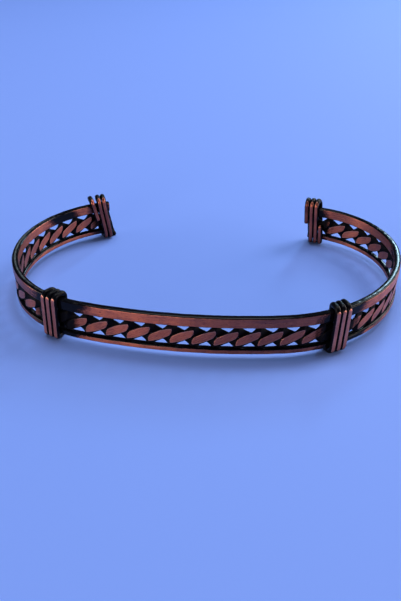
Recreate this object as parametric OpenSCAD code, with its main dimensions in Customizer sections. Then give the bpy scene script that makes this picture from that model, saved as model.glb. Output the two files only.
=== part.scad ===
// Open cuff bracelet of oxidised copper, lying on its side: two flat rails with a twist of two wires
// between them, bound by four wire wraps. All lengths are in millimetres.

/* [Cuff plan] */
// Radius of the nearly flat front of the cuff
front_radius = 81.5; // [60:0.5:110]
// Sweep of the front to the left of its middle, in degrees
left_front_sweep = 12.25; // [8:0.25:14]
// Radius of the left side
left_side_radius = 18.5; // [17:0.1:24]
// Sweep of the left side, in degrees
left_side_sweep = 57; // [50:1:75]
// Radius of the stretch that leads to the left end
left_end_radius = 19.3; // [17:0.1:26]
// Length of the band from the middle of the front to its left end
left_length = 65.3; // [58:0.1:68]
// Sweep of the front to the right of its middle, in degrees
right_front_sweep = 9; // [6:0.25:14]
// Radius of the right side
right_side_radius = 23.2; // [18:0.1:25]
// Sweep of the right side, in degrees
right_side_sweep = 80; // [60:1:90]
// Radius of the stretch that leads to the right end
right_end_radius = 16.2; // [15:0.1:26]
// Length of the band from the middle of the front to its right end
right_length = 68.4; // [62:0.1:70]

/* [Rails] */
// Thickness of both rails, from the inside of the cuff to the outside
rail_thickness = 1.05; // [0.8:0.05:1.2]
// Height of the upper rail
upper_rail_height = 1.8; // [1.2:0.1:2.4]
// Height of the lower rail
lower_rail_height = 1; // [0.8:0.1:2.4]
// Radius of the long edges of the rails
rail_edge_radius = 0.2; // [0.15:0.05:0.3]
// Clear height between the two rails
rail_spacing = 3.6; // [3.3:0.1:4.4]

/* [Twist] */
// Length of one full turn of the twist
twist_pitch = 6.45; // [5.6:0.05:8]
// Distance from the middle of the front to the first crossing on its right
first_crossing = 1.55; // [1.2:0.05:2]
// How much slower than even the wires turn where they cross, and faster where they pass over the edges
twist_easing = 0.4; // [0:0.05:0.5]
// Half the height of each wire of the twist where two wires cross
crossing_half_height = 0.9; // [0.7:0.05:1.1]
// Half the depth of each wire, before rolling, where it passes over the edge of the twist
edge_half_depth = 1.5; // [0.8:0.05:1.6]
// Depth, before rolling, from which a wire is pressed level with the face of the twist
rolling_depth = 1.25; // [1:0.05:1.6]
// Thickness that the twist is rolled flat to
twist_thickness = 0.85; // [0.7:0.05:1]

/* [Wraps] */
// Diameter of the binding wire
wire_diameter = 0.9; // [0.8:0.02:0.9]
// Distance from one turn of a wrap to the next
wrap_pitch = 0.95; // [0.95:0.05:1.3]
// Number of turns in each wrap but the left end's
wrap_turns = 3; // [2:1:4]
// Number of turns in the left end's wrap, whose wire stops under the band
left_end_turns = 2.75; // [1.75:1:3.75]
// Lean of the left end's wrap, its top further from the end than its bottom
left_end_lean = 1.1; // [0:0.05:1.2]
// Lean of the right end's wrap, its top nearer to the end than its bottom
right_end_lean = 0.55; // [0:0.05:0.8]
// Further lean of the upper half of the left end's first turn, away from the end
left_end_splay = 0.4; // [0:0.05:0.5]
// Height that the left end's wrap rises over the band before it turns down
left_end_rise = 0.7; // [0:0.05:1]
// Height that the right end's wrap rises over the band before it turns down
right_end_rise = 0.75; // [0:0.05:1]
// Distance from the middle of the front to the middle of the left front wrap, along the band
left_front_distance = 21.9; // [18:0.1:26]
// Distance from the middle of the front to the middle of the right front wrap, along the band
right_front_distance = 21.6; // [18:0.1:26]
// Distance that the rails run on past the middle of the left end's wrap
left_overhang = 1.2; // [0.6:0.05:1.4]
// Distance that the rails run on past the middle of the right end's wrap
right_overhang = 1.05; // [0.6:0.05:1.4]

/* [Fit] */
// Clear gap between neighbouring pieces
play = 0.04; // [0.04:0.01:0.08]

/* [Hidden] */

polished_copper = "#8c4a3c";
worn_copper = "#a05a44";
dark_copper = "#3a2826";

// Each half of the plan is three tangent arcs, walked outwards from the middle of the front
RADIUS = 0;
SWEEP = 1;
left_arcs = half_plan(left_front_sweep, left_side_radius, left_side_sweep, left_end_radius,
    left_length);
right_arcs = half_plan(right_front_sweep, right_side_radius, right_side_sweep, right_end_radius,
    right_length);

band_height = lower_rail_height + rail_spacing + upper_rail_height;
lower_rail_bottom = wire_diameter + play;
upper_rail_bottom = lower_rail_bottom + lower_rail_height + rail_spacing;
twist_middle = lower_rail_bottom + lower_rail_height + rail_spacing / 2;
band_middle = lower_rail_bottom + band_height / 2;

// A wire of the twist nearly fills the height between the twist's middle and a rail
strand_radius = (rail_spacing / 2 - 3 * play) / 2;
rings_per_turn = 12;
strand_sides = 8;
corner_steps = 2;
rail_step_angle = 6;
rail_step_length = 3;

// The line that the middle of the binding wire follows round the band
wire_sides = 8;
wrap_corner_steps = 4;
wrap_corner_radius = 0.7;
wrap_half_depth = rail_thickness / 2 + play + wire_diameter / 2;
wrap_half_height = band_height / 2 + play + wire_diameter / 2;
// Share of a turn's advance taken over the top, down the outside and under the band
advance_shares = [0.4, 0.2, 0.4];

left_wrap_distance = left_length - left_overhang;
right_wrap_distance = right_length - right_overhang;

function half_plan(front_sweep, side_radius, side_sweep, end_radius, length) =
    let (used = (front_radius * front_sweep + side_radius * side_sweep) * PI / 180)
    [[front_radius, front_sweep], [side_radius, side_sweep],
        [end_radius, (length - used) / end_radius * 180 / PI]];

// Point and heading after a length along one arc that starts at a point with a heading
function along_arc(start, radius, length) =
    let (heading = start[2] + length / radius * 180 / PI)
    [start[0] + radius * (sin(heading) - sin(start[2])),
        start[1] + radius * (cos(start[2]) - cos(heading)), heading];

function arc_length(arc) = arc[RADIUS] * arc[SWEEP] * PI / 180;

// Point and heading at a distance from the middle of the front, on the right half's side of it
function walk(arcs, distance, k = 0, start = [0, 0, 0]) =
    k == len(arcs) - 1 || distance <= arc_length(arcs[k])
        ? along_arc(start, arcs[k][RADIUS], distance)
        : walk(arcs, distance - arc_length(arcs[k]), k + 1,
            along_arc(start, arcs[k][RADIUS], arc_length(arcs[k])));

// Where a point of the band lies: its distance along the band, right positive, outwards, and up
function place(along, out, up) =
    let (side = along < 0 ? -1 : 1, at = walk(along < 0 ? left_arcs : right_arcs, abs(along)))
    [side * (at[0] + out * sin(at[2])), at[1] - out * cos(at[2]), up];

function unit(v) = v / norm(v);

// Distances from the middle of the front to each ring of a rail along one half
function stations(arcs) =
    let (starts = [0, arc_length(arcs[0]), arc_length(arcs[0]) + arc_length(arcs[1])])
    [for (k = [0 : len(arcs) - 1])
        let (count = ceil(max(arcs[k][SWEEP] / rail_step_angle, arc_length(arcs[k]) / rail_step_length)))
        for (i = [1 : count]) starts[k] + arc_length(arcs[k]) * i / count];

// One ring of points round a rail, its long edges rounded
function rail_ring(along, bottom, height) =
    [for (corner = [[1, 1, 0], [-1, 1, 90], [-1, -1, 180], [1, -1, 270]])
        for (i = [0 : corner_steps])
            let (angle = corner[2] + 90 * i / corner_steps)
            place(along,
                corner[0] * (rail_thickness / 2 - rail_edge_radius) + rail_edge_radius * cos(angle),
                bottom + height / 2 + corner[1] * (height / 2 - rail_edge_radius)
                    + rail_edge_radius * sin(angle))];

function rail_rings(bottom, height) =
    let (left = stations(left_arcs), right = stations(right_arcs),
        along = concat([for (i = [len(left) - 1 : -1 : 0]) -left[i]], [0], right))
    [for (s = along) rail_ring(s, bottom, height)];

// Where rolling the twist flat leaves a point
function rolled(out) = twist_thickness / 2 * max(-1, min(1, out / rolling_depth));

// One ring of points round a wire of the twist. Its section before rolling is an ellipse that touches
// the twist's middle, so it keeps to its own side, and each point faces the same way in every ring.
function strand_ring(along, phase) =
    let (turn = (along - first_crossing) * 360 / twist_pitch + phase,
        angle = turn - twist_easing / 2 * sin(2 * turn) * 180 / PI,
        half_width = crossing_half_height + (edge_half_depth - crossing_half_height) * pow(sin(angle), 4))
    [for (k = [0 : strand_sides - 1])
        let (facing = (k + 0.5) * 360 / strand_sides - angle,
            reach = norm([strand_radius * cos(facing), half_width * sin(facing)]),
            away = strand_radius + 2 * play + pow(strand_radius, 2) * cos(facing) / reach,
            across = pow(half_width, 2) * sin(facing) / reach)
        place(along, rolled(away * cos(angle) - across * sin(angle)),
            twist_middle + away * sin(angle) + across * cos(angle))];

// Even turn at which the eased turn of the wires reaches an angle
function even_turn(angle, turn, tries = 12) =
    tries == 0 ? turn : even_turn(angle, angle + twist_easing / 2 * sin(2 * turn) * 180 / PI, tries - 1);

// The rings lie at equal angles of the wires' turn, and at the twist's two ends
function strand_rings(phase) =
    let (step = 360 / rings_per_turn,
        most = ceil((left_length + right_length) / twist_pitch * rings_per_turn),
        turns = [for (i = [-most : most]) even_turn(i * step, i * step) / 360],
        inner = [for (turn = turns)
            let (s = first_crossing + turn * twist_pitch)
            if (s > 0.15 - left_length && s < right_length - 0.15) s])
    [for (s = concat([-left_length], inner, [right_length])) strand_ring(s, phase)];

// Share of a turn's advance taken by one corner of the wire's way over or under the band
function corner_share(radius) =
    let (arc = radius * PI / 2)
    advance_shares[0] * arc / (2 * arc + 2 * (wrap_half_depth - radius));

// Corner points of the wire's way round the band, as [out, up, share of the turn's advance]
function wrap_corner(out_sign, edge, radius, first_angle, share_from, share_to) =
    [for (i = [0 : wrap_corner_steps])
        let (part = i / wrap_corner_steps, angle = first_angle - 90 * part)
        [out_sign * (wrap_half_depth - radius) + radius * cos(angle),
            edge - sign(edge) * radius + radius * sin(angle), share_from + (share_to - share_from) * part]];

// Once round the band, starting at half height on the inside and going up, over the top, down the outside
// and back under the band. A wrap that rises over the band turns in a wider bend there.
function wrap_turn(rise) =
    let (over = advance_shares[0], down = over + advance_shares[1], top = wrap_half_height + rise,
        top_radius = min(0.95 * wrap_half_depth, wrap_corner_radius + rise / 2),
        share = corner_share(top_radius), share_below = corner_share(wrap_corner_radius))
    concat([[-wrap_half_depth, 0, 0]],
        wrap_corner(-1, top, top_radius, 180, 0, share),
        wrap_corner(1, top, top_radius, 90, over - share, over),
        wrap_corner(1, -wrap_half_height, wrap_corner_radius, 0, down, down + share_below),
        wrap_corner(-1, -wrap_half_height, wrap_corner_radius, -90, 1 - share_below, 1));

// The first part of a helix of whole turns, sheared along the band by its lean, and the upper half of its
// first turn by its splay too
function wrap_line(middle, turns, lean, rise, splay) =
    let (turn = wrap_turn(rise), first = middle + wrap_turns * wrap_pitch / 2,
        whole = concat(
            [for (n = [0 : ceil(turns) - 1])
                for (p = turn)
                    let (splayed = n == 0 ? splay * max(0, p[1]) / wrap_half_height : 0)
                    [first - (n + p[2]) * wrap_pitch + splayed, p[0], p[1]]],
            [[first - ceil(turns) * wrap_pitch, -wrap_half_depth, 0]]))
    [for (i = [0 : round(turns * len(turn))])
        let (p = whole[i]) [p[0] + lean * p[2] / (2 * wrap_half_height), p[1], p[2]]];

// One ring of points round the binding wire, in the plane that halves the bend of its line
function wrap_ring(line, i) =
    let (before = line[max(i - 1, 0)], after = line[min(i + 1, len(line) - 1)],
        step_in = i == 0 ? after - line[i] : line[i] - before,
        step_out = i == len(line) - 1 ? line[i] - before : after - line[i],
        run = unit(unit(step_in) + unit(step_out)),
        across = unit([1, 0, 0] - run[0] * run), outwards = cross(run, across),
        stretch = 1 / (run * unit(step_out)), radius = wire_diameter / 2 / cos(180 / wire_sides))
    [for (k = [0 : wire_sides - 1])
        let (around = (k + 0.5) * 360 / wire_sides,
            p = line[i] + radius * (cos(around) * across + stretch * sin(around) * outwards))
        place(p[0], p[1], band_middle + p[2])];

function wrap_rings(middle, turns = wrap_turns, lean = 0, rise = 0, splay = 0) =
    let (line = wrap_line(middle, turns, lean, rise, splay))
    [for (i = [0 : len(line) - 1]) wrap_ring(line, i)];

function left_end_rings() =
    wrap_rings(-left_wrap_distance, left_end_turns, left_end_lean, left_end_rise, left_end_splay);

function right_end_rings() = wrap_rings(right_wrap_distance, wrap_turns, right_end_lean, right_end_rise);

function joined(rings) = [for (ring = rings) for (p = ring) p];

// The origin lies under the middle of the whole cuff's box, at the height of what it rests on
all_points = concat(joined(rail_rings(0, rail_spacing)),
    joined(left_end_rings()), joined(right_end_rings()),
    joined(wrap_rings(-left_front_distance)), joined(wrap_rings(right_front_distance)));
xs = [for (p = all_points) p[0]];
ys = [for (p = all_points) p[1]];
box_middle = [(min(xs) + max(xs)) / 2, (min(ys) + max(ys)) / 2];

// A solid swept through rings of points, closed by a flat cap at each end
module swept(rings) {
    sides = len(rings[0]);
    last = (len(rings) - 1) * sides;
    walls = [for (i = [0 : len(rings) - 2]) for (k = [0 : sides - 1])
        let (a = i * sides + k, b = i * sides + (k + 1) % sides)
        each [[a, b, b + sides], [a, b + sides, a + sides]]];
    caps = [for (k = [1 : sides - 2]) each [[0, k + 1, k], [last, last + k, last + k + 1]]];
    translate([-box_middle[0], -box_middle[1], 0])
        polyhedron(points = joined(rings), faces = concat(walls, caps), convexity = 10);
}

module upper_rail() {
    color(polished_copper)
        swept(rail_rings(upper_rail_bottom, upper_rail_height));
}

module lower_rail() {
    color(polished_copper)
        swept(rail_rings(lower_rail_bottom, lower_rail_height));
}

module twist_strand_a() {
    color(worn_copper)
        swept(strand_rings(0));
}

module twist_strand_b() {
    color(worn_copper)
        swept(strand_rings(180));
}

module wrap_front_left() {
    color(dark_copper)
        swept(wrap_rings(-left_front_distance));
}

module wrap_front_right() {
    color(dark_copper)
        swept(wrap_rings(right_front_distance));
}

module wrap_end_left() {
    color(dark_copper)
        swept(left_end_rings());
}

module wrap_end_right() {
    color(dark_copper)
        swept(right_end_rings());
}

upper_rail();
lower_rail();
twist_strand_a();
twist_strand_b();
wrap_front_left();
wrap_front_right();
wrap_end_left();
wrap_end_right();
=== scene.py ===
"""Cuff bracelet of darkened copper: the fine shapes and materials of its rails, twist and wraps.

Lengths are in millimetres until place() turns them into metres of the row's frame. The plan, the rails,
the twist and the wraps follow the sizes and formulas of the CAD in smaller steps, with crowned edges on the
rails, softer flats and closer strands in the twist, and worn faces on the wraps.
"""
import math
from collections import namedtuple

import bpy
import numpy as np
from mathutils import Matrix, Vector


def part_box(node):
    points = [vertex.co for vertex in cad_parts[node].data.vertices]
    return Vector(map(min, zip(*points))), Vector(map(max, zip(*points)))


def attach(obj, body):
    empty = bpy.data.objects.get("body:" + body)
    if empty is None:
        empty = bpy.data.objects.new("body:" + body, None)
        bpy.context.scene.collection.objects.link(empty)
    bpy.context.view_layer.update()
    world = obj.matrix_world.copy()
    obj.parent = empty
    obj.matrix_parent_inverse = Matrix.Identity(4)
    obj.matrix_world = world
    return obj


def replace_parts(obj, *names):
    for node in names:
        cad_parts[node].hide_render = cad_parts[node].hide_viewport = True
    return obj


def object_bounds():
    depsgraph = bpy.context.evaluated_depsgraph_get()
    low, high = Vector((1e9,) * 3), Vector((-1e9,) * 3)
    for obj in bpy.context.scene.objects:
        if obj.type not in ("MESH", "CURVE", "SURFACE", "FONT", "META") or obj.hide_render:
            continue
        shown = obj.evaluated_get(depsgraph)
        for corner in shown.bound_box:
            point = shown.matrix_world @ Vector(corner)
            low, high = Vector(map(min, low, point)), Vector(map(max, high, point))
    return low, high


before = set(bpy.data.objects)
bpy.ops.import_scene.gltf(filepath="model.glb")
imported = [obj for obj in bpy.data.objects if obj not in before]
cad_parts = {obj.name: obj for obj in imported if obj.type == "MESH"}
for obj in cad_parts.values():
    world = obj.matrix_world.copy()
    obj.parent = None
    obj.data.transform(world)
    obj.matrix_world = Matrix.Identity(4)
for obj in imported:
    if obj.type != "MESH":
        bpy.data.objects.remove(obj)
CAD_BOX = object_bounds()
MILLIMETRE = 0.001

# Plan: tangent arcs (radius, sweep in degrees) from the middle of the front to the left (-1) and right (1).
# The last ones run on to the ends of the band
ARCS = {-1: ((81.5, 12.25), (18.5, 57), (19.3, 360)), 1: ((81.5, 9), (23.2, 80), (16.2, 360))}
LEFT_LENGTH, RIGHT_LENGTH = 65.3, 68.4

# Rails. The crown is how far their narrow edges fall away on both sides of the middle, and the wander how
# far they stray from the plan
RAIL_THICKNESS = 1.05
UPPER_HEIGHT, LOWER_HEIGHT = 1.8, 1.0
EDGE_RADIUS = 0.2
CROWN = 0.09
RAIL_WANDER = 0.012
RAIL_END_ROUNDING = 0.12
SPACING = 3.6
PLAY = 0.04

# Twist: its strands' half widths at the crossings and at the edges, and how far it was rolled flat. Each
# strand keeps the strand gap off the twist's axis
TWIST_PITCH = 6.45
FIRST_CROSSING = 1.55
EASING = 0.4
CROSSING_HALF, EDGE_HALF = 0.9, 1.5
ROLLING_DEPTH, ROLLING_SOFTNESS = 1.25, 0.035
TWIST_THICKNESS = 0.85
STRAND_GAP = 0.006
TWIST_WANDER = 0.01
STRAND_END_ROUNDING, STRAND_END_HALF = 0.1, 0.4

# Wraps: wire, coils, the radius of their corners, how deep their faces are worn flat, and the share of a
# turn's advance that the wire makes on its way over the band. It makes as much again under it
WIRE = 0.9
WIRE_UNEVENNESS = 0.012
WIRE_END_ROUNDING = 0.3
WRAP_PITCH, WRAP_TURNS = 0.95, 3
CORNER = 0.7
LEFT_OVERHANG, RIGHT_OVERHANG = 1.2, 1.05
WORN_OFF, WORN_SOFTNESS = 0.045, 0.012
PASSING_SHARE = 0.4

# Heights above the surface that the cuff lies on, and the wraps' wire round the middle of the band
LOWER_BOTTOM = WIRE + PLAY
TWIST_MIDDLE = LOWER_BOTTOM + LOWER_HEIGHT + SPACING / 2
UPPER_BOTTOM = LOWER_BOTTOM + LOWER_HEIGHT + SPACING
BAND_HEIGHT = LOWER_HEIGHT + SPACING + UPPER_HEIGHT
BAND_MIDDLE = LOWER_BOTTOM + BAND_HEIGHT / 2
HALF_DEPTH = RAIL_THICKNESS / 2 + PLAY + WIRE / 2
HALF_HEIGHT = BAND_HEIGHT / 2 + PLAY + WIRE / 2

# Each wrap's middle along the band, its turns, lean, rise over the band, and splay of its first turn
Wrap = namedtuple("Wrap", "middle turns lean rise splay")
WRAPS = {
    "wrap_front_left": Wrap(-21.9, 3, 0.0, 0.0, 0.0),
    "wrap_front_right": Wrap(21.6, 3, 0.0, 0.0, 0.0),
    "wrap_end_left": Wrap(LEFT_OVERHANG - LEFT_LENGTH, 2.75, 1.1, 0.7, 0.4),
    "wrap_end_right": Wrap(RIGHT_LENGTH - RIGHT_OVERHANG, 3, 0.55, 0.75, 0.0),
}

# How far the band stays dark before and after each wrap, how ragged the border is, and half the length over
# which it fades
UPPER_REACH = {"wrap_front_left": (1.5, 4.5), "wrap_front_right": (1.8, 3.1), "wrap_end_left": (0, 1.0),
               "wrap_end_right": (1.0, 0)}
LOWER_REACH = {**UPPER_REACH, "wrap_front_left": (1.5, 3.3)}
TWIST_REACH = {"wrap_front_left": (2.3, 2.9), "wrap_front_right": (2.2, 2.2), "wrap_end_left": (0, 1.0),
               "wrap_end_right": (2.0, 0)}
RAGGEDNESS, RAGGED_SEED = 0.3, 5
FADE = 2.0

# Stretches of the upper rail's inside that were hardly polished: middle and half length
MISSED = ((-55.4, 3.2), (43.5, 3.0))

# How much darker the rails' outside is made along the left side, where it is painted shade on the side that
# faces away from the light, and on the right along the lower rail, and the stretches over which that comes
# and goes
OUTSIDE_DARKENING = 0.35
LEFT_SHADE_FALLS, LEFT_SHADE_LIFTS, LOWER_RIGHT_DARKENS = (-22, -24), (-36, -33), (22, 24)

# Where a rail's faces turn from dark to polished, in shares of its half thickness and half height
FACE_BORDER = (0.9, 0.985)
# The lower rail's dark top is partly unpolished next to the twist and partly painted shade under it; the
# upper rail darkens towards its bottom edge
UPPER_BORDER, LOWER_BORDER = (-0.97, -0.66), (0.75, 0.35)

# The polished lozenges of the twist: half length and width, slope, shift along the band, and how square they
# are. They lie where the wires are rolled flat, and their brush strokes run aslant
LOZENGE_LENGTH, LOZENGE_WIDTH = 2.5, 0.66
LOZENGE_SLOPE = math.radians(25)
LOZENGE_SHIFT = 0.1
LOZENGE_POWER = 2.1
LOZENGE_BORDER = 0.25
FLAT_LEVEL, FLAT_BORDER = 0.985, 0.03
STROKE_ALONG, STROKE_UP = 0.86, 0.5

# The polished strips of the wraps: from what level of the wire's crest, and how far round its bends
STRIP_LEVEL, STRIP_BORDER = 0.78, 0.1
FRONT_BEND, END_BEND = (0.82, 0.96), (0.5, 0.75)
FIRST_STRIP_DULLING = 0.45

# Limits of the attribute that is above 0 on the polished faces, and what takes it far below anywhere
RAISED_RANGE = (-1.5, 2)
SUNKEN = 3

# Stations along the band, points round each section, and the longest steps on straight stretches
RAIL_STATIONS, STRAND_STATIONS = 420, 1240
STRAND_SIDES, WRAP_SIDES = 40, 28
RAIL_CORNER_POINTS, WRAP_CORNER_POINTS = 7, 15
SECTION_STEP, WRAP_STEP = 0.08, 0.16

# Looks of the copper: colours as on screen, strength of brush strokes and of the painted rim highlight,
# shader values
Finish = namedtuple("Finish", "bright dull brush rim specular black_roughness roughness anisotropy")
FINISHES = {
    "rail_copper": Finish((170, 98, 80), (134, 80, 74), 1.5, 0.3, 0.12, 0.18, 0.42, 0.75),
    "twist_copper": Finish((172, 100, 82), (138, 84, 76), 1.5, 0.8, 0.06, 0.5, 0.42, 0.6),
    "wrap_copper": Finish((208, 132, 110), (180, 110, 94), 0.8, 0.9, 0.08, 0.3, 0.38, 0.0),
    "end_wrap_copper": Finish((168, 96, 80), (132, 74, 66), 0.8, 0.5, 0.08, 0.3, 0.38, 0.0),
}
# The rim colour is a painted highlight: the pale line where a polished face's rounded edge catches the light
LIGHT_STROKE, DARK_STROKE, RIM_HIGHLIGHT = (196, 118, 92), (78, 44, 42), (196, 150, 140)
PATINA, DUSTY_PATINA = (3, 3, 7), (11, 12, 18)
METALLIC = 0.92
BUMP_STRENGTH, BUMP_HEIGHT = 0.25, 0.03 * MILLIMETRE

# Noises of the copper: scale, detail and roughness, and how those that follow the metal are stretched
PATCHES, GRAIN = (0.35, 3, 0.6), (4.5, 3, 0.6)
STROKES, STROKES_STRETCH = (1.0, 4, 0.65), (0.5, 7, 7)
FINE_STROKES, FINE_STRETCH = (1.0, 2, 0.5), (1.6, 42, 42)
STAINS, STAINS_STRETCH = (1.6, 4, 0.7), (1.1, 2.2, 2.2)

# Where the noises and the attributes start to show, and where they are full
STAINED, STAIN_STRENGTH = (0.61, 0.7), 0.75
POLISHED_FACE, POLISHED_PLACE = (-0.25, 0.45), (0.15, 0.85)
BRIGHT_PATCH = (0.38, 0.62)
LIGHT_BRUSHED, DARK_BRUSHED, BRUSH_STRENGTH = (0.42, 0.62), (0.48, 0.66), 0.4
# The band along each polished border that takes the painted rim highlight
RIM_HIGHLIGHT_BEGINS, RIM_HIGHLIGHT_ENDS = (-0.1, 0.35), (0.95, 0.4)
DUSTY = (0.3, 0.75)
METAL_SHOWS = (0, 0.35)

# Camera, floor, world and lights, in metres and degrees, but the lens and its sensor in millimetres
EYE = (0.007465, -0.0983722, 0.059505)
EYE_YAW, EYE_PITCH, EYE_ROLL = -4.878, 32.353, 0.493
LENS, SENSOR = 59.05, 36
NEAR, FAR = 0.002, 20
FLOOR_COLOUR, FLOOR_ROUGHNESS = (105, 137, 216), 0.8
FLOOR_HALF, FLOOR_GAP = 3, 0.00001
WORLD_COLOUR, WORLD_STRENGTH = (178, 188, 226), 0.06
Light = namedtuple("Light", "name position target size energy colour")
LIGHTS = (
    Light("key", (-0.06, 0.16, 0.8), (0, 0, 0), (0.5, 0.4), 4.9, (0.92, 0.95, 1)),
    Light("back_right", (0.44, 0.36, 0.52), (0, 0, 0), (0.3, 0.3), 2.6, (0.92, 0.95, 1)),
    Light("left_front", (-0.168, -0.42, 0.08), (-0.015, -0.02, 0.004), (0.18, 0.08), 0.8, (1, 0.78, 0.62)),
    Light("right_front", (0.478, -0.146, 0.08), (0.02, -0.01, 0.004), (0.16, 0.08), 0.8, (1, 0.84, 0.74)),
    Light("right_side", (0.52, 0.24, 0.14), (0, 0, 0.004), (0.44, 0.12), 1.95, (1, 0.84, 0.78)),
    Light("left_side", (-0.48, -0.13, 0.11), (0, 0, 0.004), (0.30, 0.10), 1.0, (1, 0.88, 0.78)),
    Light("right_edge", (0.295, 0.86, 0.48), (0.03, 0, 0.005), (0.10, 0.24), 3.0, (0.5, 0.8, 1)),
    Light("left_edge", (-0.386, 0.88, 0.49), (-0.03, 0, 0.005), (0.09, 0.18), 0.24, (0.72, 0.9, 1)),
)


def smoothstep(low, high, x):
    t = np.clip((x - low) / (high - low), 0, 1)
    return t * t * (3 - 2 * t)


def soft_limit(u, softness):
    """u up to 1, then 1, with a rounded bend between."""
    return 1 - softness * np.logaddexp(0, (1 - u) / softness)


def wave(along, seed, longest=9.0, shortest=1.2):
    """A smooth unevenness of about -1 to 1 along the band."""
    count = 6
    lengths = np.geomspace(longest, shortest, count)
    phases = np.random.default_rng(seed).uniform(0, 2 * math.pi, count)
    return sum(np.sin(along * 2 * math.pi / n + p) for n, p in zip(lengths, phases)) / (count / 2)


def plan(along):
    """x, y and heading of the band's middle line at distances along it, right positive."""
    along = np.asarray(along, float)
    x, y, heading = np.zeros_like(along), np.zeros_like(along), np.zeros_like(along)
    for side in (-1, 1):
        pick = along < 0 if side < 0 else along >= 0
        left = np.abs(along[pick])
        px, py, turn = np.zeros_like(left), np.zeros_like(left), np.zeros_like(left)
        for radius, sweep in ARCS[side]:
            step = np.minimum(left, radius * math.radians(sweep))
            after = turn + step / radius
            px += radius * (np.sin(after) - np.sin(turn))
            py += radius * (np.cos(turn) - np.cos(after))
            turn, left = after, left - step
        x[pick], y[pick], heading[pick] = side * px, py, side * turn
    return x, y, heading


def beside_plan(along, out):
    """x and y at distances along the band's middle line and outwards from it."""
    x, y, heading = plan(along)
    return x + out * np.sin(heading), y - out * np.cos(heading)


def box_middle():
    """Where the middle of the CAD's box lies in the plan, from the upper rail's outline."""
    along = np.linspace(-LEFT_LENGTH, RIGHT_LENGTH, 2000)
    sides = np.repeat([RAIL_THICKNESS / 2, -RAIL_THICKNESS / 2], len(along))
    low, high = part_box("upper_rail")
    middles = []
    for k, values in enumerate(beside_plan(np.concatenate([along, along]), sides)):
        middles.append((values.min() + values.max()) / 2 - (low[k] + high[k]) / 2 / MILLIMETRE)
    return middles


MIDDLE = box_middle()


def place(along, out, up):
    """Points of the band in metres of the row's frame: distance along it, outwards, and up."""
    x, y = beside_plan(along, out)
    return np.stack([x - MIDDLE[0], y - MIDDLE[1], np.broadcast_to(up, x.shape)], -1) * MILLIMETRE


def near_wraps(along, reaches):
    """1 beside a wrap, where the polishing wheel never reached, falling to 0 away from it."""
    dark = np.zeros_like(along)
    for name, (before, after) in reaches.items():
        middle = WRAPS[name].middle
        clear = np.abs(along - middle) - WRAP_TURNS * WRAP_PITCH / 2
        ragged = RAGGEDNESS * wave(along, RAGGED_SEED, longest=4, shortest=0.7)
        reach = np.where(along < middle, before, after) + ragged
        dark = np.maximum(dark, 1 - smoothstep(reach - FADE, reach + FADE, clear))
    return dark


def swept(name, points, raised, wear_and_shade, flow, material):
    """A closed tube through rings of points, with the attributes that its material reads."""
    rings, sides = points.shape[:2]
    i, j = np.meshgrid(np.arange(rings - 1), np.arange(sides), indexing="ij")
    a, b = i * sides + j, i * sides + (j + 1) % sides
    quads = np.stack([a, b, b + sides, a + sides], -1).reshape(-1, 4)
    last = (rings - 1) * sides
    flat = points.reshape(-1, 3)
    tri = np.concatenate([quads[:, :3], quads[:, [0, 2, 3]]])
    volume = np.einsum("ij,ij->i", flat[tri[:, 0]], np.cross(flat[tri[:, 1]], flat[tri[:, 2]])).sum()
    faces = [tuple(q) for q in quads.tolist()]
    faces += [tuple(range(sides))[::-1], tuple(range(last, last + sides))]
    if volume < 0:
        faces = [f[::-1] for f in faces]
    mesh = bpy.data.meshes.new(name)
    mesh.from_pydata(flat.tolist(), [], faces)
    mesh.polygons.foreach_set("use_smooth", [True] * len(faces))
    mesh.attributes.new("raised", "FLOAT", "POINT").data.foreach_set("value", raised.reshape(-1))
    mesh.attributes.new("wear_and_shade", "FLOAT", "POINT").data.foreach_set("value", wear_and_shade.reshape(-1))
    mesh.attributes.new("flow", "FLOAT_VECTOR", "POINT").data.foreach_set("vector", flow.reshape(-1))
    mesh.update()
    piece = bpy.data.objects.new(name, mesh)
    bpy.context.scene.collection.objects.link(piece)
    mesh.materials.append(material)
    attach(piece, "root")
    return piece


def stations(count, rounding):
    """Distances along the band, with a few more at each end, and how far each ring draws in there."""
    along = np.linspace(-LEFT_LENGTH, RIGHT_LENGTH, count)
    turn = np.radians([80, 60, 40, 20])
    drawn_in = rounding * (1 - np.cos(turn))
    head = along[0] + rounding * (1 - np.sin(turn))
    tail = along[-1] - rounding * (1 - np.sin(turn[::-1]))
    inner = along[(along > along[0] + rounding) & (along < along[-1] - rounding)]
    inset = np.concatenate([drawn_in, np.zeros(len(inner)), drawn_in[::-1]])
    return np.concatenate([head, inner, tail]), inset[:, None]


def rail_section(height):
    """(out, up) round a rail, counterclockwise: flat faces, and edges that are slightly crowned."""
    half = np.array([RAIL_THICKNESS / 2, height / 2])
    corners = []
    for k, signs in enumerate(((1, 1), (-1, 1), (-1, -1), (1, -1))):
        turn = np.radians(90 * k + np.linspace(0, 90, RAIL_CORNER_POINTS))
        arc = EDGE_RADIUS * np.column_stack([np.cos(turn), np.sin(turn)])
        corners.append((half - EDGE_RADIUS) * signs + arc)
    points = []
    for corner, following in zip(corners, corners[1:] + corners[:1]):
        length = np.linalg.norm(following[0] - corner[-1])
        count = max(2, int(length / SECTION_STEP))
        points += [corner, np.linspace(corner[-1], following[0], count + 1)[1:-1]]
    points = np.concatenate(points)
    points[:, 1] *= 1 - 2 * CROWN / height * (points[:, 0] / half[0]) ** 2
    return points


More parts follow.
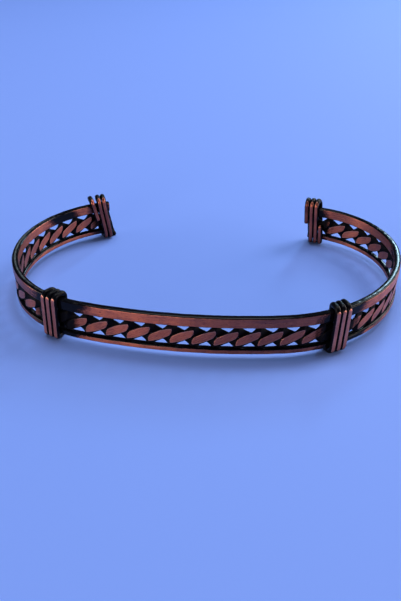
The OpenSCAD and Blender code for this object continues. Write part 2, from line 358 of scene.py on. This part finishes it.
def rail_faces(section, height):
    """1 on the two polished faces of a rail's section, 0 on its edges and towards the lower rail's top edge.
    """
    facing = np.abs(section[:, 0]) / (RAIL_THICKNESS / 2)
    up = section[:, 1] / (height / 2)
    # The upper rail's faces are polished up to the top edge and darken towards the bottom one; the lower
    # rail's stay dark some way below the top edge, partly unpolished and partly painted shade under the
    # twist
    border = UPPER_BORDER if height == UPPER_HEIGHT else LOWER_BORDER
    return smoothstep(*FACE_BORDER, facing) * smoothstep(*border, up)


def rail_wear_and_shade(along, section, height):
    """How strongly a rail shows its polish, 1 fully: less by the wraps and where missed, less on the outside
    along the left side, which is painted shade, and less along the lower rail's right.
    """
    inside = section[None, :, 0] < 0
    slanted = along[:, None] - 0.5 * section[None, :, 1] / (height / 2)
    # Along the left side the outside is darkened as painted shade, where it faces away from the light
    darkened = OUTSIDE_DARKENING * smoothstep(*LEFT_SHADE_FALLS, along) * smoothstep(*LEFT_SHADE_LIFTS, along)
    if height == UPPER_HEIGHT:
        missed = sum(1 - smoothstep(half - FADE, half + FADE, np.abs(slanted - at)) for at, half in MISSED)
        wear_and_shade = (1 - near_wraps(slanted, UPPER_REACH)) * (1 - missed * inside)
    else:
        wear_and_shade = 1 - near_wraps(slanted, LOWER_REACH)
        darkened = darkened + OUTSIDE_DARKENING * smoothstep(*LOWER_RIGHT_DARKENS, along)
    return wear_and_shade - darkened[:, None] * ~inside


def rail(name, bottom, height, seed, material):
    along, inset = stations(RAIL_STATIONS, RAIL_END_ROUNDING)
    section = rail_section(height)
    shrink = 1 - inset / (RAIL_THICKNESS / 2)
    out = section[None, :, 0] * shrink + RAIL_WANDER * wave(along, seed)[:, None]
    rise = section[None, :, 1] * shrink + RAIL_WANDER * wave(along, seed + 1)[:, None]
    s = np.broadcast_to(along[:, None], out.shape)
    points = place(s, out, bottom + height / 2 + rise)
    raised = np.broadcast_to(2 * rail_faces(section, height) - 1, out.shape)
    wear_and_shade = rail_wear_and_shade(along, section, height)
    across = np.broadcast_to(section, (*out.shape, 2))
    flow = np.stack([s, across[..., 1], across[..., 0]], -1)
    return swept(name, points, raised, wear_and_shade, flow, material)


def drawn_together(values, shrink):
    """The values of each ring, shrunk towards their middle."""
    middle = values.mean(1, keepdims=True)
    return middle + (values - middle) * shrink


def strand_rings(turn):
    """(out, rise) of a strand's oval wire before it was rolled flat, at its turn round the twist."""
    # The wires turn slower where they cross than where they pass over the edges
    angle = turn - EASING / 2 * np.sin(2 * turn)
    cos, sin = np.cos(angle), np.sin(angle)
    radius = (SPACING / 2 - PLAY - STRAND_GAP) / 2
    half_width = CROSSING_HALF + (EDGE_HALF - CROSSING_HALF) * sin ** 4
    facing = (np.arange(STRAND_SIDES)[None] + 0.5) * 2 * math.pi / STRAND_SIDES - angle
    reach = np.hypot(radius * np.cos(facing), half_width * np.sin(facing))
    away = radius + STRAND_GAP + radius ** 2 * np.cos(facing) / reach
    across = half_width ** 2 * np.sin(facing) / reach
    return away * cos - across * sin, away * sin + across * cos


def lozenges(turn, face, rise):
    """Above 0 inside the lozenge where a wire lies on top of the other, below 0 outside it."""
    off = (turn + np.where(face < 0, math.pi, 0) + math.pi) % (2 * math.pi) - math.pi
    off = off * TWIST_PITCH / (2 * math.pi) + LOZENGE_SHIFT
    slope = face * LOZENGE_SLOPE
    lengthwise = np.abs(off * np.cos(slope) + rise * np.sin(slope)) / LOZENGE_LENGTH
    crosswise = np.abs(rise * np.cos(slope) - off * np.sin(slope)) / LOZENGE_WIDTH
    return 1 - lengthwise ** LOZENGE_POWER - crosswise ** LOZENGE_POWER


def strand(name, phase, seed, material):
    along, inset = stations(STRAND_STATIONS, STRAND_END_ROUNDING)
    turn = ((along - FIRST_CROSSING) * 2 * math.pi / TWIST_PITCH + math.radians(phase))[:, None]
    round_out, rise = strand_rings(turn)
    face = np.sign(round_out)
    level = np.abs(round_out) / ROLLING_DEPTH
    out = TWIST_THICKNESS / 2 * face * np.maximum(soft_limit(level, ROLLING_SOFTNESS), 0)
    shrink = 1 - inset / STRAND_END_HALF
    out, rise = drawn_together(out, shrink), drawn_together(rise, shrink)
    s = np.broadcast_to(along[:, None], out.shape)
    points = place(s, out + TWIST_WANDER * wave(along, seed)[:, None], TWIST_MIDDLE + rise)
    raised = np.minimum((level - FLAT_LEVEL) / FLAT_BORDER, lozenges(turn, face, rise) / LOZENGE_BORDER)
    raised = np.clip(raised, *RAISED_RANGE)
    wear_and_shade = np.broadcast_to(1 - near_wraps(along, TWIST_REACH)[:, None], out.shape)
    # Lengthwise coordinates that follow the wire across the face
    lengthwise = s * STROKE_ALONG + rise * STROKE_UP
    crosswise = rise * STROKE_ALONG - s * STROKE_UP * face
    flow = np.stack([lengthwise, crosswise, out], -1)
    return swept(name, points, raised, wear_and_shade, flow, material)


def corner_share(radius):
    """Share of a turn's advance along the band that one corner over or under it takes."""
    arc = radius * math.pi / 2
    return PASSING_SHARE * arc / (2 * arc + 2 * (HALF_DEPTH - radius))


def wrap_turn(rise):
    """(out, up, share of the turn's advance) once round the band, from half height on the inside."""
    top, bottom = HALF_HEIGHT + rise, -HALF_HEIGHT
    top_radius = min(0.95 * HALF_DEPTH, CORNER + rise / 2)
    over, under = corner_share(top_radius), corner_share(CORNER)
    down = 1 - PASSING_SHARE
    # Each corner's side, height, radius, direction where it starts, and shares at its start and end
    corners = (
        (-1, top, top_radius, 180, 0, over),
        (1, top, top_radius, 90, PASSING_SHARE - over, PASSING_SHARE),
        (1, bottom, CORNER, 0, down, down + under),
        (-1, bottom, CORNER, -90, 1 - under, 1),
    )
    part = np.linspace(0, 1, WRAP_CORNER_POINTS)
    line = [[(-HALF_DEPTH, 0, 0)]]
    for side, height, radius, direction, start, end in corners:
        turn = np.radians(direction - 90 * part)
        line.append(np.column_stack([side * (HALF_DEPTH - radius) + radius * np.cos(turn),
                                     height - math.copysign(radius, height) + radius * np.sin(turn),
                                     start + (end - start) * part]))
    line = np.concatenate(line + [[(-HALF_DEPTH, 0, 1)]])
    fine = [line[:1]]
    for a, b in zip(line, line[1:]):
        count = max(1, int(math.hypot(b[0] - a[0], b[1] - a[1]) / WRAP_STEP))
        fine.append(np.linspace(a, b, count + 1)[1:])
    return np.concatenate(fine)


def wrap_line(shape):
    """Middle line of a wrap's wire: distance along the band, outwards, and up from its middle."""
    turn = wrap_turn(shape.rise)
    first = shape.middle + WRAP_TURNS * WRAP_PITCH / 2
    line = []
    for n in range(math.ceil(shape.turns)):
        along = first - (n + turn[:, 2]) * WRAP_PITCH
        if n == 0:
            along += shape.splay * np.maximum(0, turn[:, 1]) / HALF_HEIGHT
        coil = np.column_stack([along, turn[:, 0], turn[:, 1]])
        line.append(coil if n == 0 else coil[1:])
    line = np.concatenate(line)
    if shape.turns % 1:
        # The wire stops under the band, where its last corner starts
        under = np.flatnonzero((line[:, 2] <= -HALF_HEIGHT + 1e-6) & (line[:, 1] < 0))
        line = line[:under[-1] + 1]
    line[:, 0] += shape.lean * line[:, 2] / (2 * HALF_HEIGHT)
    return line


def unit(vectors):
    return vectors / np.linalg.norm(vectors, axis=1, keepdims=True)


def wrap(name, seed, material):
    shape = WRAPS[name]
    line = wrap_line(shape)
    run = unit(np.gradient(line, axis=0))
    across = unit(np.array([1.0, 0, 0]) - run[:, :1] * run)
    outwards = np.cross(run, across)
    length = np.concatenate([[0], np.cumsum(np.linalg.norm(np.diff(line, axis=0), axis=1))])
    unevenness = WIRE_UNEVENNESS * wave(length, seed, longest=6, shortest=0.8)
    radius = WIRE / 2 * (1 - WIRE_UNEVENNESS + unevenness)
    # The cut ends are rounded over
    ends = np.clip(np.minimum(length, length[-1] - length) / WIRE_END_ROUNDING, 0, 1)
    radius = (radius * np.sqrt(np.clip(1 - (1 - ends) ** 2, 0.02, 1)))[:, None, None]
    around = (np.arange(WRAP_SIDES) + 0.5) * 2 * math.pi / WRAP_SIDES
    cos, sin = np.cos(around)[None, :, None], np.sin(around)[None, :, None]
    rings = line[:, None] + radius * (cos * across[:, None] + sin * outwards[:, None])
    s, out, up = rings[..., 0], rings[..., 1], rings[..., 2]
    # The faces of the wrap are worn flat
    limit = HALF_DEPTH + WIRE / 2 - WORN_OFF
    out = np.sign(out) * limit * soft_limit(np.abs(out) / limit, WORN_SOFTNESS)
    # They are polished along the outermost side of the wire, and stay black round its bends
    crest = -np.sign(outwards[0, 1]) * np.sin(around)[None, :]
    straight = smoothstep(*(END_BEND if shape.rise else FRONT_BEND), np.abs(outwards[:, 1]))[:, None]
    raised = np.clip((crest - STRIP_LEVEL) / STRIP_BORDER, *RAISED_RANGE) - SUNKEN * (1 - straight)
    wear_and_shade = np.ones(raised.shape)
    if name == "wrap_end_right":
        # Its first strip is less polished
        first = shape.middle + WRAP_TURNS * WRAP_PITCH / 2 + shape.lean * up / (2 * HALF_HEIGHT)
        wear_and_shade -= FIRST_STRIP_DULLING * smoothstep(0.7, 0.3, first - s)
    flow = np.stack(np.broadcast_arrays(length[:, None], WIRE / 2 * around[None, :], 0 * raised), -1)
    points = place(s, out, BAND_MIDDLE + up)
    return swept(name + "_fine", points, raised, wear_and_shade, flow, material)


class Nodes:
    """A short way to build a material's nodes."""

    def __init__(self, name):
        self.material = bpy.data.materials.new(name)
        self.material.use_nodes = True
        self.tree = self.material.node_tree
        self.tree.nodes.clear()
        self.shader = self.add("ShaderNodeBsdfPrincipled")
        self.link(self.shader.outputs[0], self.add("ShaderNodeOutputMaterial").inputs[0])

    def add(self, kind, **settings):
        node = self.tree.nodes.new(kind)
        for key, value in settings.items():
            setattr(node, key, value)
        return node

    def link(self, source, target):
        self.tree.links.new(source, target)

    def put(self, socket, value):
        if isinstance(value, bpy.types.NodeSocket):
            self.link(value, socket)
        else:
            socket.default_value = value

    def math(self, operation, a, b, clamp=False):
        node = self.add("ShaderNodeMath", operation=operation, use_clamp=clamp)
        self.put(node.inputs[0], a)
        self.put(node.inputs[1], b)
        return node.outputs[0]

    def times(self, a, b):
        return self.math("MULTIPLY", a, b)

    def total(self, first, *others):
        for other in others:
            first = self.math("ADD", first, other)
        return first

    def swing(self, noise, amount):
        """A noise brought from round 0.5 to round 0, times an amount."""
        return self.times(self.math("SUBTRACT", noise, 0.5), amount)

    def ramp(self, value, low, high, to_low=0.0, to_high=1.0):
        node = self.add("ShaderNodeMapRange", interpolation_type="SMOOTHSTEP")
        for socket, v in zip(node.inputs, (value, low, high, to_low, to_high)):
            self.put(socket, v)
        return node.outputs[0]

    def mix(self, factor, a, b):
        node = self.add("ShaderNodeMix", data_type="RGBA")
        self.put(node.inputs[0], factor)
        self.put(node.inputs[6], a)
        self.put(node.inputs[7], b)
        return node.outputs[2]

    def attribute(self, name, output="Fac"):
        return self.add("ShaderNodeAttribute", attribute_name=name).outputs[output]

    def noise(self, vector, scale, detail, roughness):
        node = self.add("ShaderNodeTexNoise")
        self.link(vector, node.inputs["Vector"])
        node.inputs["Scale"].default_value = scale
        node.inputs["Detail"].default_value = detail
        node.inputs["Roughness"].default_value = roughness
        return node.outputs["Fac"]

    def scaled(self, vector, factors):
        node = self.add("ShaderNodeMapping")
        self.link(vector, node.inputs["Vector"])
        node.inputs["Scale"].default_value = factors
        return node.outputs[0]


def rgb(*channels):
    """A colour given as it looks on screen, 0 to 255."""
    light = (((c / 255 + 0.055) / 1.055) ** 2.4 if c > 10 else c / 255 / 12.92 for c in channels)
    return (*light, 1.0)


def copper(name):
    """Copper blackened all over and then polished back where it stands proud."""
    finish = FINISHES[name]
    n = Nodes(name)
    flow = n.attribute("flow", "Vector")
    millimetres = n.scaled(n.add("ShaderNodeTexCoord").outputs["Object"], [1 / MILLIMETRE] * 3)
    patches = n.noise(millimetres, *PATCHES)
    grain = n.noise(millimetres, *GRAIN)
    strokes = n.noise(n.scaled(flow, STROKES_STRETCH), *STROKES)
    fine_strokes = n.noise(n.scaled(flow, FINE_STRETCH), *FINE_STROKES)
    stains = n.ramp(n.noise(n.scaled(flow, STAINS_STRETCH), *STAINS), *STAINED)
    # The raised faces are polished up to a ragged border, fade out where worn less and where painted shade
    # darkens them, and keep dark stains
    border = n.total(n.attribute("raised"), n.swing(grain, 1.3), n.swing(strokes, 0.9))
    fading = n.total(n.attribute("wear_and_shade"), n.swing(strokes, 0.8), n.swing(grain, 0.5))
    polished = n.times(n.ramp(border, *POLISHED_FACE), n.ramp(fading, *POLISHED_PLACE))
    unstained = n.math("SUBTRACT", 1.0, n.times(stains, STAIN_STRENGTH))
    polished = n.math("MULTIPLY", polished, unstained, clamp=True)
    # Bare copper in brighter and duller patches, with light and dark brush strokes, and a painted highlight
    # along the rim of its polished faces
    brush = BRUSH_STRENGTH * finish.brush
    bare = n.mix(n.ramp(patches, *BRIGHT_PATCH), rgb(*finish.dull), rgb(*finish.bright))
    bare = n.mix(n.times(n.ramp(strokes, *LIGHT_BRUSHED), brush), bare, rgb(*LIGHT_STROKE))
    bare = n.mix(n.times(n.ramp(fine_strokes, *DARK_BRUSHED), brush), bare, rgb(*DARK_STROKE))
    # Painted highlight along the border of the polished faces
    rim = n.times(n.ramp(border, *RIM_HIGHLIGHT_BEGINS), n.ramp(border, *RIM_HIGHLIGHT_ENDS))
    bare = n.mix(n.times(rim, finish.rim), bare, rgb(*RIM_HIGHLIGHT))
    black = n.mix(n.ramp(grain, *DUSTY), rgb(*PATINA), rgb(*DUSTY_PATINA))
    n.link(n.mix(polished, black, bare), n.shader.inputs["Base Color"])
    n.link(n.ramp(polished, *METAL_SHOWS, 0.0, METALLIC), n.shader.inputs["Metallic"])
    n.shader.inputs["Specular IOR Level"].default_value = finish.specular
    # Brushed lengthwise: reflections spread up and down and stay narrow along the band
    n.shader.inputs["Anisotropic"].default_value = finish.anisotropy
    n.shader.inputs["Anisotropic Rotation"].default_value = 0.25
    uneven = n.total(n.swing(strokes, 0.2), n.swing(grain, 0.18))
    uneven = n.times(uneven, n.ramp(polished, 0, 1, 0.3, 1.0))
    rough = n.ramp(polished, 0, 1, finish.black_roughness, finish.roughness)
    n.link(n.math("ADD", rough, uneven, clamp=True), n.shader.inputs["Roughness"])
    # The strokes, the grain and the stains are felt on bare copper and nearly smooth on the black
    height = n.total(n.times(strokes, 0.5), n.times(grain, 0.35), n.times(stains, -0.5))
    bump = n.add("ShaderNodeBump")
    bump.inputs["Strength"].default_value = BUMP_STRENGTH
    bump.inputs["Distance"].default_value = BUMP_HEIGHT
    n.link(n.times(height, n.ramp(polished, 0, 1, 0.15, 1.0)), bump.inputs["Height"])
    n.link(bump.outputs[0], n.shader.inputs["Normal"])
    return n.material


def camera():
    """The photograph's viewpoint, fitted to the plan of the cuff."""
    yaw, pitch, roll = (math.radians(angle) for angle in (EYE_YAW, EYE_PITCH, EYE_ROLL))
    ahead = Vector((math.sin(yaw) * math.cos(pitch), math.cos(yaw) * math.cos(pitch), -math.sin(pitch)))
    right = Vector((math.cos(yaw), -math.sin(yaw), 0))
    up = right.cross(ahead)
    across = math.cos(roll) * right + math.sin(roll) * up
    upright = -math.sin(roll) * right + math.cos(roll) * up
    data = bpy.data.cameras.new("camera")
    data.sensor_fit, data.sensor_width, data.lens = "HORIZONTAL", SENSOR, LENS
    data.clip_start, data.clip_end = NEAR, FAR
    eye = bpy.data.objects.new("camera", data)
    turned = Matrix((across, upright, -ahead)).transposed().to_4x4()
    eye.matrix_world = Matrix.Translation(EYE) @ turned
    bpy.context.scene.collection.objects.link(eye)
    bpy.context.scene.camera = eye


def area_light(light):
    data = bpy.data.lights.new(light.name, "AREA")
    data.shape = "RECTANGLE"
    data.size, data.size_y = light.size
    data.energy, data.color = light.energy, light.colour
    lamp = bpy.data.objects.new(light.name, data)
    aim = Vector(light.target) - Vector(light.position)
    turned = aim.to_track_quat("-Z", "Y").to_matrix().to_4x4()
    lamp.matrix_world = Matrix.Translation(light.position) @ turned
    bpy.context.scene.collection.objects.link(lamp)


def lay_floor():
    mesh = bpy.data.meshes.new("floor")
    z = CAD_BOX[0][2] - FLOOR_GAP
    corners = [(FLOOR_HALF * x, FLOOR_HALF * y, z) for x, y in ((-1, -1), (1, -1), (1, 1), (-1, 1))]
    mesh.from_pydata(corners, [], [(0, 1, 2, 3)])
    floor = bpy.data.objects.new("floor", mesh)
    bpy.context.scene.collection.objects.link(floor)
    n = Nodes("pale_floor")
    n.shader.inputs["Base Color"].default_value = rgb(*FLOOR_COLOUR)
    n.shader.inputs["Roughness"].default_value = FLOOR_ROUGHNESS
    mesh.materials.append(n.material)


def studio():
    world = bpy.data.worlds.new("studio")
    world.use_nodes = True
    background = world.node_tree.nodes["Background"]
    background.inputs[0].default_value = rgb(*WORLD_COLOUR)
    background.inputs[1].default_value = WORLD_STRENGTH
    bpy.context.scene.world = world
    bpy.context.scene.view_settings.view_transform = "Standard"
    for light in LIGHTS:
        area_light(light)
    lay_floor()


def main():
    camera()
    studio()
    rail_material = copper("rail_copper")
    twist_material = copper("twist_copper")
    wrap_material = copper("wrap_copper")
    end_material = copper("end_wrap_copper")
    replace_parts(rail("upper_rail_fine", UPPER_BOTTOM, UPPER_HEIGHT, 11, rail_material), "upper_rail")
    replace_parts(rail("lower_rail_fine", LOWER_BOTTOM, LOWER_HEIGHT, 21, rail_material), "lower_rail")
    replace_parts(strand("twist_strand_a_fine", 0, 31, twist_material), "twist_strand_a")
    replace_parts(strand("twist_strand_b_fine", 180, 41, twist_material), "twist_strand_b")
    for k, name in enumerate(WRAPS):
        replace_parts(wrap(name, 51 + k, end_material if "end" in name else wrap_material), name)


main()
